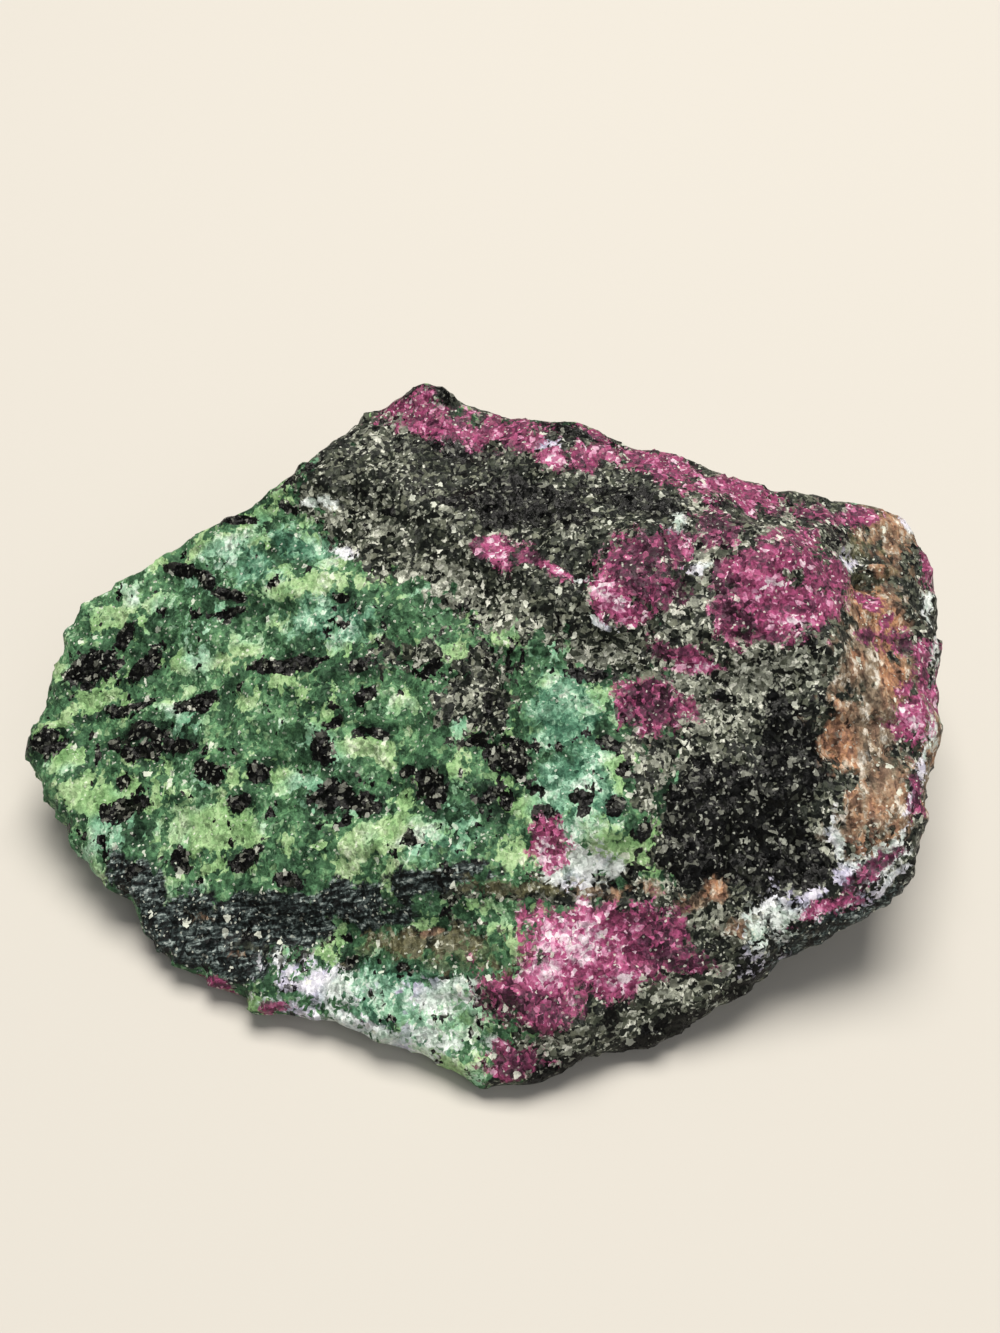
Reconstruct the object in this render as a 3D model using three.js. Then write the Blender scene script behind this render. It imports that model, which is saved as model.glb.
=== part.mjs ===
// A rough lump of ruby in zoisite, broken from the rock on every side and grown as one solid piece.
// It is a wedge-shaped slab: one broad face slopes down to the front and left, the far edge is the
// thickest, and the underside is broken in towards a flat patch that it rests on.
//
// Millimetres, +Z up, +Y away from the front. The tables below measure from a mark on the surface
// that the lump rests on, a little in front of its middle. The finished lump is moved so that the
// origin is under the middle of its box.
import * as THREE from 'three';
import { ImprovedNoise } from 'three/addons/math/ImprovedNoise.js';

// Widest outline of the lump seen from straight above, anticlockwise from the front tip.
const OUTLINE = [
  [5, -35], [12, -32], [25, -26], [31, -22], [34, -19], [43, -18], [50, -15], [52, -6], [55, 1],
  [58, 12], [60, 23], [60, 33], [58, 41], [46, 40], [38, 39], [32, 40], [27, 42], [15, 46],
  [6, 48], [-1, 50], [-8, 53], [-16, 51], [-22, 42], [-29, 37], [-40, 34], [-50, 30], [-55, 27],
  [-58, 20], [-59, 11], [-56, 1], [-48, -9], [-40, -18], [-31, -23], [-15, -27], [-5, -30],
];

// Fracture faces that look up. Each is a plane through a point of the face, with its rise in mm of
// height per mm to the right (+X) and per mm to the back (+Y).
const UPPER_FACES = [
  { name: 'green face', at: [-4, 9, 27], rise: [0.29, 0.5] },
  { name: 'crest', at: [-7, 30, 36], rise: [0.05, 0.18] },
  { name: 'back strip', at: [6, 45, 38.5], rise: [-0.02, -0.1] },
  { name: 'ruby shoulder', at: [40, 16, 34.8], rise: [-0.235, -0.1] },
  { name: 'iron-stained flank', at: [51, 11, 24.5], rise: [-0.65, 0.25] },
  { name: 'black face', at: [33, -3, 23.4], rise: [-0.1, 0.66] },
  { name: 'front face', at: [2, -25, 15], rise: [0.05, 0.85] },
  { name: 'front right face', at: [18, -28, 5.5], rise: [-0.3, 1.2] },
];

// Fracture faces that look down, in the same terms.
const LOWER_FACES = [
  { name: 'under the left tip', at: [-25, 5, 0], rise: [-0.24, 0] },
  { name: 'under the front left', at: [-20, -8, 0], rise: [-0.07, -0.08] },
  { name: 'under the front tip', at: [0, -15, 0], rise: [0.02, -0.1] },
  { name: 'under the front right', at: [28, -8, 0], rise: [0.45, -0.2] },
  { name: 'under the right flank', at: [38, 12, 0], rise: [0.68, 0.1] },
  { name: 'under the back', at: [5, 31, 0], rise: [0.05, 0.5] },
  { name: 'back wall', at: [8, 42, 7], rise: [0.1, 2.2] },
  { name: 'under the back left', at: [-25, 22, 0], rise: [-0.35, 0.42] },
  { name: 'back left wall', at: [-35, 33, 10], rise: [-0.7, 1.6] },
];

// Raised lumps and hollows of the upper side: centre, half lengths, turn in degrees from +X, and
// height, which is negative for a hollow.
const LUMPS = [
  { name: 'left ruby lump', at: [18, 17], half: [7, 7], turn: 0, height: 2 },
  { name: 'right ruby lump', at: [36, 17], half: [10, 9], turn: 10, height: 2.4 },
  { name: 'front bulge', at: [1, -23], half: [12, 5], turn: 0, height: 1.5 },
  { name: 'front left bulge', at: [-29, -20], half: [13, 5], turn: -20, height: 2.5 },
  { name: 'back knob', at: [-9, 51], half: [5, 4], turn: 0, height: 3 },
  { name: 'iron-stained hollow', at: [48, 23], half: [5, 3], turn: 60, height: -2.2 },
  { name: 'ruby lip', at: [41, -15], half: [10, 3], turn: 22, height: 1.6 },
];

// Steps on the upper side: the rock in front of the route lies lower by the drop, which fades out at
// both ends of the route.
const STEPS = [
  { name: 'step under the green face', route: [[-48, -7], [-30, -12], [-10, -15], [12, -16]],
    width: 3, drop: 2.6 },
  { name: 'ledge under the ruby', route: [[8, 12], [18, 8], [30, 7], [46, 9]], width: 2, drop: 1.4 },
];

const EDGE_SOFTNESS = 0.7; // how far two fracture faces blend where they meet
const STEP_FADE = 0.25; // share of a step's route over which it fades out at each end

// Relief of the broken surface. SWELL and GRAIN are noise of that wavelength and height, and CHIPS
// are scoops of that size. LEDGES are low steps along the layers of the rock: the layers lie across
// this direction, wander a little, and show in patches only.
const SWELL = { length: 15, height: 1.1 };
const GRAIN = { length: 3.4, height: 0.4 };
const CHIPS = { size: 11, tilt: 0.2, hollow: 0.025 };
const LEDGES = {
  spacing: 7, height: 0.6, riser: 0.16, across: new THREE.Vector3(-0.12, 0.81, 0.57),
  wander: { length: 22, share: 0.6 }, patches: { length: 19, from: -0.4, to: 0.3 },
};
const MEAN_RELIEF = 0.6; // taken off again, so that the relief stays centred on the faces
const RIM = { width: 5, share: 0.5 }; // the relief drops to this share along the thin rim
const HOLLOWS = { length: 17, height: 1.6, from: 0.15, to: 0.55 }; // in the patch it rests on

const CELL = 2.45; // side of the cubes that the surface is traced through
const ROOM = { low: [-66, -42, 0], high: [66, 60, 48] }; // the lump, with room round it
const EVENING_PASSES = 3; // evens out the triangles
const SETTLING_TURNS = 4; // brings a vertex back onto the surface
const PROBE = 0.4; // distance over which a slope is measured
const FLAT = 0.05; // anything lower than this lies on the flat patch

const noise = new ImprovedNoise();

function noiseAt(p, length, shift) {
  return noise.noise(p.x / length + shift, p.y / length + 2 * shift, p.z / length - shift);
}

// Smooth maximum of several distances, which rounds the edge between two faces.
function softMax(values, softness) {
  const top = Math.max(...values);
  let sum = 0;
  for (const v of values) sum += Math.exp((v - top) / softness);
  return top + softness * Math.log(sum);
}

// Height above a face that looks up (or below one that looks down), measured square to it.
function overFace(face, p, sign) {
  const [x, y, z] = face.at;
  const [rx, ry] = face.rise;
  const height = z + rx * (p.x - x) + ry * (p.y - y);
  return (sign * (p.z - height)) / Math.hypot(1, rx, ry);
}

// Nearest place on a line between two points: how far it is, how far along it lies from 0 to 1, and
// on which side of the line the point is.
function toSegment(x, y, [ax, ay], [bx, by]) {
  const dx = bx - ax;
  const dy = by - ay;
  const length = Math.hypot(dx, dy);
  const share = THREE.MathUtils.clamp(((x - ax) * dx + (y - ay) * dy) / length ** 2, 0, 1);
  const distance = Math.hypot(x - ax - share * dx, y - ay - share * dy);
  const side = (x - ax) * dy - (y - ay) * dx > 0 ? 1 : -1;
  return { distance, share, side };
}

// Distance outside the outline seen from above, negative inside it.
function overOutline(p) {
  let nearest = Infinity;
  let inside = false;
  OUTLINE.forEach(([ax, ay], i) => {
    const [bx, by] = OUTLINE[(i + 1) % OUTLINE.length];
    nearest = Math.min(nearest, toSegment(p.x, p.y, [ax, ay], [bx, by]).distance);
    if (ay > p.y !== by > p.y && p.x < ((bx - ax) * (p.y - ay)) / (by - ay) + ax) inside = !inside;
  });
  return inside ? -nearest : nearest;
}

function lumpHeight(lump, x, y) {
  const turn = THREE.MathUtils.degToRad(lump.turn);
  const dx = x - lump.at[0];
  const dy = y - lump.at[1];
  const along = (dx * Math.cos(turn) + dy * Math.sin(turn)) / lump.half[0];
  const across = (dy * Math.cos(turn) - dx * Math.sin(turn)) / lump.half[1];
  return lump.height * Math.exp(-((along * along + across * across) ** 1.5));
}

function stepDepth(step, x, y) {
  const last = step.route.length - 2;
  let nearest = { distance: Infinity };
  for (let i = 0; i <= last; i++) {
    const found = toSegment(x, y, step.route[i], step.route[i + 1]);
    if (found.distance < nearest.distance) nearest = { ...found, along: (i + found.share) / (last + 1) };
  }
  const ends = THREE.MathUtils.smoothstep(Math.min(nearest.along, 1 - nearest.along), 0, STEP_FADE);
  const front = THREE.MathUtils.smoothstep(nearest.side * nearest.distance, 0, step.width);
  return step.drop * ends * front;
}

// A repeatable number from 0 to 1 for a cell of the chip pattern.
function cellNumber(x, y, z, which) {
  const s = Math.sin(x * 127.1 + y * 311.7 + z * 74.7 + which * 53.3) * 43758.5453;
  return s - Math.floor(s);
}

// Shallow scoops that meet in sharp ridges, each tilted its own way, as a brittle rock breaks.
function chipHeight(p) {
  const cx = Math.floor(p.x / CHIPS.size);
  const cy = Math.floor(p.y / CHIPS.size);
  const cz = Math.floor(p.z / CHIPS.size);
  let height = Infinity;
  for (let x = cx - 1; x <= cx + 1; x++)
    for (let y = cy - 1; y <= cy + 1; y++)
      for (let z = cz - 1; z <= cz + 1; z++) {
        const dx = p.x - (x + cellNumber(x, y, z, 0)) * CHIPS.size;
        const dy = p.y - (y + cellNumber(x, y, z, 1)) * CHIPS.size;
        const dz = p.z - (z + cellNumber(x, y, z, 2)) * CHIPS.size;
        const tilted =
          dx * (cellNumber(x, y, z, 3) - 0.5) +
          dy * (cellNumber(x, y, z, 4) - 0.5) +
          dz * (cellNumber(x, y, z, 5) - 0.5);
        height = Math.min(height, tilted * CHIPS.tilt + CHIPS.hollow * (dx * dx + dy * dy + dz * dz));
      }
  return height;
}

// Low steps where the layers of the rock come to the surface.
function ledgeHeight(p) {
  const { spacing, height, riser, across, wander, patches } = LEDGES;
  const layer = p.dot(across) / spacing + wander.share * noiseAt(p, wander.length, 3.7);
  const share = layer - Math.floor(layer);
  const step = THREE.MathUtils.smoothstep(share, 0, riser) - share;
  const patch = THREE.MathUtils.smoothstep(noiseAt(p, patches.length, 8.1), patches.from, patches.to);
  return height * step * patch;
}

// Height of the relief, which is lower along the thin rim.
function relief(p) {
  const full =
    SWELL.height * noiseAt(p, SWELL.length, 0.3) +
    GRAIN.height * noiseAt(p, GRAIN.length, 5.9) +
    chipHeight(p) +
    ledgeHeight(p) -
    MEAN_RELIEF;
  return full * THREE.MathUtils.lerp(RIM.share, 1, THREE.MathUtils.smoothstep(-overOutline(p), 0, RIM.width));
}

// Distance outside the lump before its relief, negative inside it.
function outsideBody(p) {
  let raised = 0;
  for (const lump of LUMPS) raised += lumpHeight(lump, p.x, p.y);
  for (const step of STEPS) raised -= stepDepth(step, p.x, p.y);
  const lowered = new THREE.Vector3(p.x, p.y, p.z - raised);
  const upper = UPPER_FACES.map((face) => overFace(face, lowered, 1));
  const lower = LOWER_FACES.map((face) => overFace(face, p, -1));
  return softMax([...upper, ...lower, overOutline(p)], EDGE_SOFTNESS);
}

// Height of the shallow hollows in the patch that the lump rests on, which leave most of it flat.
function hollowHeight(p) {
  const patch = THREE.MathUtils.smoothstep(noiseAt(p, HOLLOWS.length, 4.6), HOLLOWS.from, HOLLOWS.to);
  return HOLLOWS.height * patch;
}

// Distance outside the finished lump, negative inside it.
function outside(p) {
  return Math.max(outsideBody(p) - relief(p), hollowHeight(p) - p.z);
}

// Direction straight out of the body.
function outward(p) {
  const plain = (x, y, z) => Math.max(outsideBody(new THREE.Vector3(x, y, z)), -z);
  return new THREE.Vector3(
    plain(p.x + PROBE, p.y, p.z) - plain(p.x - PROBE, p.y, p.z),
    plain(p.x, p.y + PROBE, p.z) - plain(p.x, p.y - PROBE, p.z),
    plain(p.x, p.y, p.z + PROBE) - plain(p.x, p.y, p.z - PROBE),
  ).normalize();
}

// Corners of the cubes that the surface is traced through, and how far outside the lump each is.
// The flat patch lies half way up the lowest row of cubes.
function sampleRoom() {
  const counts = ROOM.low.map((low, i) => Math.ceil((ROOM.high[i] - low) / CELL) + 1);
  const corner = (i, j, k) =>
    new THREE.Vector3(ROOM.low[0] + i * CELL, ROOM.low[1] + j * CELL, ROOM.low[2] + (k - 0.5) * CELL);
  const distances = [];
  for (let k = 0; k < counts[2]; k++)
    for (let j = 0; j < counts[1]; j++)
      for (let i = 0; i < counts[0]; i++) distances.push(outside(corner(i, j, k)));
  const place = (i, j, k) => (k * counts[1] + j) * counts[0] + i;
  fillTouching(counts, distances, place);
  return { counts, corner, distance: (...at) => distances[place(...at)] };
}

// Where only two opposite corners of a square lie inside, the surface would touch itself, so the
// nearer of the other two is taken inside as well.
function fillTouching(counts, distances, place) {
  let changed = true;
  while (changed) {
    changed = false;
    for (let k = 0; k < counts[2] - 1; k++)
      for (let j = 0; j < counts[1] - 1; j++)
        for (let i = 0; i < counts[0] - 1; i++)
          for (let axis = 0; axis < 3; axis++) {
            const square = [[0, 0], [1, 0], [1, 1], [0, 1]].map(([a, b]) => {
              const at = [i, j, k];
              at[(axis + 1) % 3] += a;
              at[(axis + 2) % 3] += b;
              return place(...at);
            });
            const inside = square.map((n) => distances[n] < 0);
            if (inside[0] !== inside[2] || inside[1] !== inside[3] || inside[0] === inside[1]) continue;
            const [a, b] = square.filter((n) => distances[n] >= 0);
            distances[distances[a] < distances[b] ? a : b] = -0.1;
            changed = true;
          }
  }
}

// Traces the surface through the cubes: one vertex in each cube that it passes through, and one
// square, as two triangles, across each cube edge that it crosses.
function traceSurface() {
  const { counts, corner, distance } = sampleRoom();
  const points = [];
  const triangles = [];
  const vertexOf = new Map();

  function vertexIn(i, j, k) {
    const key = [i, j, k].join();
    if (vertexOf.has(key)) return vertexOf.get(key);
    const middle = new THREE.Vector3();
    let crossings = 0;
    for (let axis = 0; axis < 3; axis++)
      for (const a of [0, 1])
        for (const b of [0, 1]) {
          const from = [i, j, k];
          from[(axis + 1) % 3] += a;
          from[(axis + 2) % 3] += b;
          const to = [...from];
          to[axis] += 1;
          const [start, end] = [distance(...from), distance(...to)];
          if (start < 0 === end < 0) continue;
          middle.add(corner(...from).lerp(corner(...to), start / (start - end)));
          crossings += 1;
        }
    points.push(middle.divideScalar(crossings));
    vertexOf.set(key, points.length - 1);
    return points.length - 1;
  }

  for (let k = 0; k < counts[2] - 1; k++)
    for (let j = 1; j < counts[1] - 1; j++)
      for (let i = 1; i < counts[0] - 1; i++)
        traceEdges(i, j, k);

  function traceEdges(i, j, k) {
    for (let axis = 0; axis < 3; axis++) {
      const to = [i, j, k];
      to[axis] += 1;
      const inside = distance(i, j, k) < 0;
      if (inside === distance(...to) < 0) continue;
      const around = [[0, 0], [-1, 0], [-1, -1], [0, -1]].map(([a, b]) => {
        const cell = [i, j, k];
        cell[(axis + 1) % 3] += a;
        cell[(axis + 2) % 3] += b;
        return vertexIn(...cell);
      });
      const [a, b, c, d] = inside ? around : around.reverse();
      triangles.push(a, b, c, a, c, d);
    }
  }
  return { points, triangles };
}

// Lists the vertices that share an edge with each vertex.
function neighbours(count, triangles) {
  const sets = Array.from({ length: count }, () => new Set());
  for (let i = 0; i < triangles.length; i += 3)
    for (let k = 0; k < 3; k++) {
      sets[triangles[i + k]].add(triangles[i + ((k + 1) % 3)]);
      sets[triangles[i + k]].add(triangles[i + ((k + 2) % 3)]);
    }
  return sets.map((set) => [...set]);
}

// Slides each vertex along the surface towards the middle of its neighbours, and back onto it.
function evenOut(points, around) {
  const middles = around.map((list) => {
    const middle = new THREE.Vector3();
    for (const i of list) middle.addScaledVector(points[i], 1 / list.length);
    return middle;
  });
  points.forEach((p, i) => {
    const out = outward(p);
    const slide = middles[i].sub(p);
    slide.addScaledVector(out, -slide.dot(out));
    p.addScaledVector(slide, 0.5);
    for (let turn = 0; turn < SETTLING_TURNS; turn++) p.addScaledVector(out, -0.8 * outside(p));
    if (p.z < FLAT) p.z = 0;
  });
}

function lumpGeometry() {
  const { points, triangles } = traceSurface();
  const around = neighbours(points.length, triangles);
  for (let pass = 0; pass < EVENING_PASSES; pass++) evenOut(points, around);
  const geometry = new THREE.BufferGeometry().setFromPoints(points).setIndex(triangles);
  geometry.computeBoundingBox();
  const middle = geometry.boundingBox.getCenter(new THREE.Vector3());
  geometry.translate(-middle.x, -middle.y, 0);
  geometry.computeVertexNormals();
  return geometry;
}

const stone = new THREE.Mesh(
  lumpGeometry(),
  new THREE.MeshStandardMaterial({ color: 0x4d6b52, roughness: 0.62, metalness: 0, flatShading: true }),
);
stone.name = 'ruby_in_zoisite';

const specimen = new THREE.Group();
specimen.add(stone);

export default specimen;
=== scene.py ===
import math
import random

import bmesh
import bpy
import numpy as np
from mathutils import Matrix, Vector, noise
from mathutils.bvhtree import BVHTree


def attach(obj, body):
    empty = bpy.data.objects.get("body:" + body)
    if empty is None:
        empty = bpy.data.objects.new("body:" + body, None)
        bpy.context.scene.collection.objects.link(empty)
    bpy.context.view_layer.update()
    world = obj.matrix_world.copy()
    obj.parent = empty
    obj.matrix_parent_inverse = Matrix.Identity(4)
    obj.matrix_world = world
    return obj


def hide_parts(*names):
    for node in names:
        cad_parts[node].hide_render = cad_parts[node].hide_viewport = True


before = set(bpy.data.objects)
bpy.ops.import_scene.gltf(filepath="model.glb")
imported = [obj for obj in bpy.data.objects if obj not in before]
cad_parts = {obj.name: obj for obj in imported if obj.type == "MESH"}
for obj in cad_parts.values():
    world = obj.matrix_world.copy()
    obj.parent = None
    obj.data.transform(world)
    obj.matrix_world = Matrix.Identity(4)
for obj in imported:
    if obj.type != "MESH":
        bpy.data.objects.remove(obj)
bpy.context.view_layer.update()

# A rough hand specimen of ruby in zoisite, 121 mm long: apple green zoisite with black amphibole
# grains and streaks, ruby lumps and lenses, a band of black rock and an iron-stained flank.
# The stone is one mesh over the solid ruby_in_zoisite. Lengths are in millimetres unless a
# comment says otherwise, and become metres as the mesh is made.

MM = 0.001

# Points of the solid that are closer than this are one point.
WELD = 0.01

# The camera that the stone is seen from, its picture of 1000 by 1333 pixels, its sensor's long
# side and about how far it is from the stone, in millimetres.
CAMERA_PLACE = Vector((1.33, -127.49, 141.2))
CAMERA_PITCH = math.radians(42)
FOCAL_PIXELS = 1400
MIDDLE_PIXEL = (500, 666.5)
SENSOR = 36
LONG_SIDE_PIXELS = 1333
CAMERA_DISTANCE = 200
FORWARD = Vector((0, math.cos(CAMERA_PITCH), -math.sin(CAMERA_PITCH)))
RIGHT = Vector((1, 0, 0))
UPWARD = Vector((0, math.sin(CAMERA_PITCH), math.cos(CAMERA_PITCH)))

# The rock's layers run across this direction.
ACROSS_LAYERS = Vector((-0.12, 0.81, 0.57)).normalized()

# Each row is a patch of one mineral as the camera sees it: its middle (pixels across and down),
# its half length and half width (pixels), and the tilt of its length, in degrees, anticlockwise.
# A few rows, marked where they stand, are partly painted shadow or highlight.
BLACK_GRAINS = [
    (240, 521, 25, 5, 10),
    (187, 571, 20, 8, -8),
    (207, 582, 12, 8, -45),
    (229, 594, 21, 6, -12),
    (232, 612, 19, 5, 5),
    (125, 635, 14, 8, 35),
    (85, 672, 26, 17, 30),
    (143, 666, 23, 11, 45),
    (281, 664, 47, 8, 10),
    (124, 709, 42, 6, 10),
    (201, 704, 19, 8, 20),
    (135, 736, 44, 10, 14),
    (45, 743, 24, 12, -5),
    (187, 742, 14, 9, 0),
    (345, 598, 12, 5, 0),
    (363, 664, 12, 7, 0),
    (476, 738, 12, 9, 0),
    (122, 810, 29, 13, 15),
    (141, 752, 17, 11, 0),
    (127, 780, 12, 8, 30),
    (205, 774, 13, 10, 0),
    (259, 773, 11, 9, 0),
    (238, 805, 13, 12, 0),
    (322, 748, 15, 17, 0),
    (332, 724, 16, 8, 30),
    (375, 735, 15, 8, 0),
    (331, 796, 21, 16, 20),
    (365, 803, 17, 12, 0),
    (429, 788, 19, 19, 0),
    (406, 770, 9, 6, 0),
    (489, 797, 14, 14, 0),
    (508, 757, 17, 25, 0),
    (505, 806, 13, 15, 0),
    (548, 816, 14, 9, 0),
    (613, 806, 11, 8, 0),
    (630, 708, 10, 16, 20),
    (612, 742, 14, 7, -30),
    (628, 772, 9, 12, 0),
    (600, 676, 12, 6, 20),
    (178, 862, 12, 10, 90),
    (245, 858, 17, 8, 20),
    (290, 879, 13, 10, 0),
    (353, 960, 11, 9, 0),
    (406, 966, 8, 6, 0),
    (289, 983, 9, 6, 0),
    (836, 544, 14, 6, 0),
    (862, 588, 28, 5, -12),
    (843, 538, 14, 7, 0),
    (713, 503, 14, 4, -10),
    (640, 831, 14, 9, 0),
    (577, 800, 9, 6, 0),
    (430, 390, 28, 10, -12),
    (572, 431, 42, 9, -12),
    (520, 505, 70, 26, -8),
    (640, 500, 50, 16, -20),
    (452, 440, 44, 16, -25),
    (718, 780, 44, 22, 10),
    (735, 815, 74, 50, -15),
    (788, 748, 32, 58, 10),
    (706, 856, 44, 36, 0),
    (780, 860, 50, 34, 0),
    (660, 1040, 60, 16, 25),
    (560, 1070, 40, 14, 20),
    (745, 985, 30, 14, 40),
]
DARK_SPECKLED_ROCK = [
    (350, 436, 40, 30, 40),
    (322, 478, 36, 26, 45),
    (805, 496, 60, 36, -12),
    (700, 590, 80, 60, 0),
    (880, 540, 60, 50, 0),
    (925, 620, 30, 100, 0),
    (655, 765, 26, 44, 0),
    (640, 600, 60, 40, 0),
    (830, 530, 60, 36, 0),
    (700, 700, 60, 50, 0),
    (400, 410, 70, 30, -10),
    (600, 450, 90, 30, -12),
    (760, 500, 90, 30, -20),
    (430, 500, 112, 84, -5),
    (420, 470, 90, 70, 10),
    (560, 500, 130, 84, -10),
    (720, 520, 120, 80, -10),
    (520, 590, 112, 46, -15),
    (640, 640, 110, 40, -10),
    (760, 640, 100, 90, 0),
    (790, 780, 120, 140, 0),
    (735, 840, 80, 90, 0),
    (870, 620, 80, 120, 0),
    (880, 780, 80, 120, 0),
    (680, 960, 170, 86, 15),
    (610, 1040, 120, 60, 20),
    # This long thin row is partly painted shadow: the dark line under the ridge, laid on as dark speckled
    # rock.
    (570, 892, 116, 13, 3),
    (760, 940, 120, 60, 20),
    (860, 900, 80, 50, 30),
    (414, 652, 44, 14, 10),
    (465, 705, 34, 26, 30),
    (480, 690, 40, 40, 0),
    (545, 1008, 44, 36, 0),
    (250, 945, 60, 22, 0),
    (430, 935, 60, 16, 4),
]
SALTY_ROCK = [
    (806, 662, 34, 18, -10),
    (735, 925, 36, 24, 0),
    (870, 800, 26, 44, 0),
    (600, 575, 14, 18, 0),
    (705, 560, 20, 34, 0),
    (322, 512, 34, 18, 10),
    (430, 585, 56, 30, -20),
    (385, 535, 16, 10, -10),
    (560, 520, 60, 18, -12),
    (500, 620, 60, 24, -15),
    (600, 652, 60, 18, -8),
    (692, 592, 34, 24, 0),
    (690, 510, 18, 14, 0),
    (680, 528, 12, 12, 0),
    (764, 530, 30, 8, 28),
    (780, 505, 40, 9, -10),
    (846, 555, 22, 16, 0),
    (770, 641, 50, 8, -6),
    (690, 630, 50, 10, 0),
    (735, 680, 56, 34, 0),
    (706, 722, 22, 20, 0),
    (667, 800, 24, 30, 0),
    (795, 880, 22, 18, 0),
    (828, 850, 14, 36, 0),
    (640, 745, 16, 30, 0),
    (690, 760, 40, 16, 0),
    (465, 705, 14, 9, 30),
    (620, 1030, 70, 20, 15),
    (700, 985, 60, 20, 30),
    (400, 425, 40, 16, 30),
    (655, 880, 40, 8, 0),
    (560, 1040, 40, 12, 0),
]
# The dark band on the step below the ledge and on the lower facets: dark fibrous rock, and partly painted
# shade where its faces turn down and away from the light.
SLATE_AND_SHADE_BAND = [
    (140, 888, 52, 20, -42),
    (190, 930, 54, 34, -32),
    (270, 920, 66, 30, 4),
    (350, 903, 66, 20, 9),
    (430, 880, 60, 13, 10),
    (235, 962, 44, 22, -10),
    (385, 920, 50, 8, 10),
    (826, 930, 70, 14, 27),
    (604, 1074, 50, 7, 25),
    (700, 1022, 60, 8, 30),
    (890, 900, 30, 9, 40),
    (720, 1010, 50, 8, 30),
]
RUBY = [
    (866, 602, 24, 6, -10),
    (890, 618, 12, 5, 20),
    (400, 408, 26, 12, 20),
    (440, 422, 46, 15, -14),
    (508, 432, 36, 20, -12),
    (550, 456, 18, 8, -6),
    (594, 454, 26, 10, 0),
    (660, 466, 46, 15, -28),
    (735, 494, 56, 15, -14),
    (596, 436, 22, 5, -14),
    (496, 552, 22, 11, -30),
    (524, 556, 20, 9, -15),
    (556, 569, 24, 8, -28),
    (716, 530, 20, 18, 0),
    (638, 552, 38, 24, 8),
    (654, 580, 34, 24, -20),
    (622, 572, 24, 24, 0),
    (672, 546, 18, 14, 30),
    (612, 596, 38, 13, -45),
    (640, 608, 16, 8, -20),
    (766, 560, 44, 24, 20),
    (800, 604, 46, 26, 8),
    (762, 598, 42, 34, -20),
    (822, 572, 26, 20, 0),
    (738, 578, 26, 26, 0),
    (796, 538, 44, 14, 24),
    (734, 616, 28, 22, -30),
    (776, 634, 40, 10, -8),
    (815, 512, 30, 12, -10),
    (862, 518, 30, 8, -5),
    (704, 663, 22, 8, 0),
    (674, 650, 22, 9, -10),
    (652, 706, 36, 24, -10),
    (655, 730, 12, 12, 0),
    (928, 566, 22, 9, -75),
    (914, 716, 26, 15, 80),
    (905, 690, 14, 8, 60),
    (902, 641, 12, 10, 0),
    (868, 636, 12, 8, 0),
    (547, 850, 24, 18, 80),
    (598, 945, 76, 42, -6),
    (648, 930, 36, 28, 0),
    (560, 975, 36, 28, 0),
    (616, 980, 24, 18, 0),
    (530, 1000, 50, 22, -20),
    (668, 950, 22, 24, 0),
    (694, 964, 20, 10, 0),
    (504, 1048, 10, 7, 0),
    (518, 1062, 24, 13, 0),
    (209, 986, 27, 6, -20),
    (226, 1001, 9, 4, 0),
    (277, 1006, 16, 5, -5),
    (306, 1021, 14, 3, -15),
    (826, 907, 38, 8, 25),
    (872, 871, 38, 8, 32),
    (918, 790, 5, 16, 0),
]
BRIGHT_RUBY = [
    (608, 596, 32, 9, -45),
    (704, 664, 14, 5, 0),
    (550, 456, 14, 6, 0),
    (757, 588, 18, 14, 0),
    (800, 622, 34, 10, 0),
    (930, 564, 16, 6, -75),
    (914, 722, 22, 10, 80),
    (546, 852, 20, 16, 80),
    (580, 940, 56, 26, -8),
    (548, 977, 30, 17, -62),
    (618, 978, 22, 17, 0),
    (540, 955, 15, 24, 0),
    (815, 916, 26, 6, 20),
    (560, 571, 16, 6, -28),
    (504, 1047, 10, 7, 0),
    (496, 555, 12, 6, 0),
]
DARK_RUBY = [
    (872, 871, 38, 8, 32),
    (644, 566, 34, 32, 0),
    (652, 706, 36, 24, 0),
    (530, 1002, 50, 20, -10),
    (716, 530, 22, 18, 0),
    (518, 1062, 20, 11, 0),
    (662, 944, 22, 26, 0),
    (694, 964, 22, 12, 0),
    (524, 556, 18, 8, 0),
    (815, 512, 34, 12, 0),
    (868, 868, 44, 8, 30),
    (905, 770, 20, 36, 0),
    (902, 641, 12, 10, 0),
    (868, 636, 12, 8, 0),
    (674, 650, 18, 8, 0),
    (740, 612, 24, 30, 0),
    (696, 592, 30, 30, 0),
]
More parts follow.
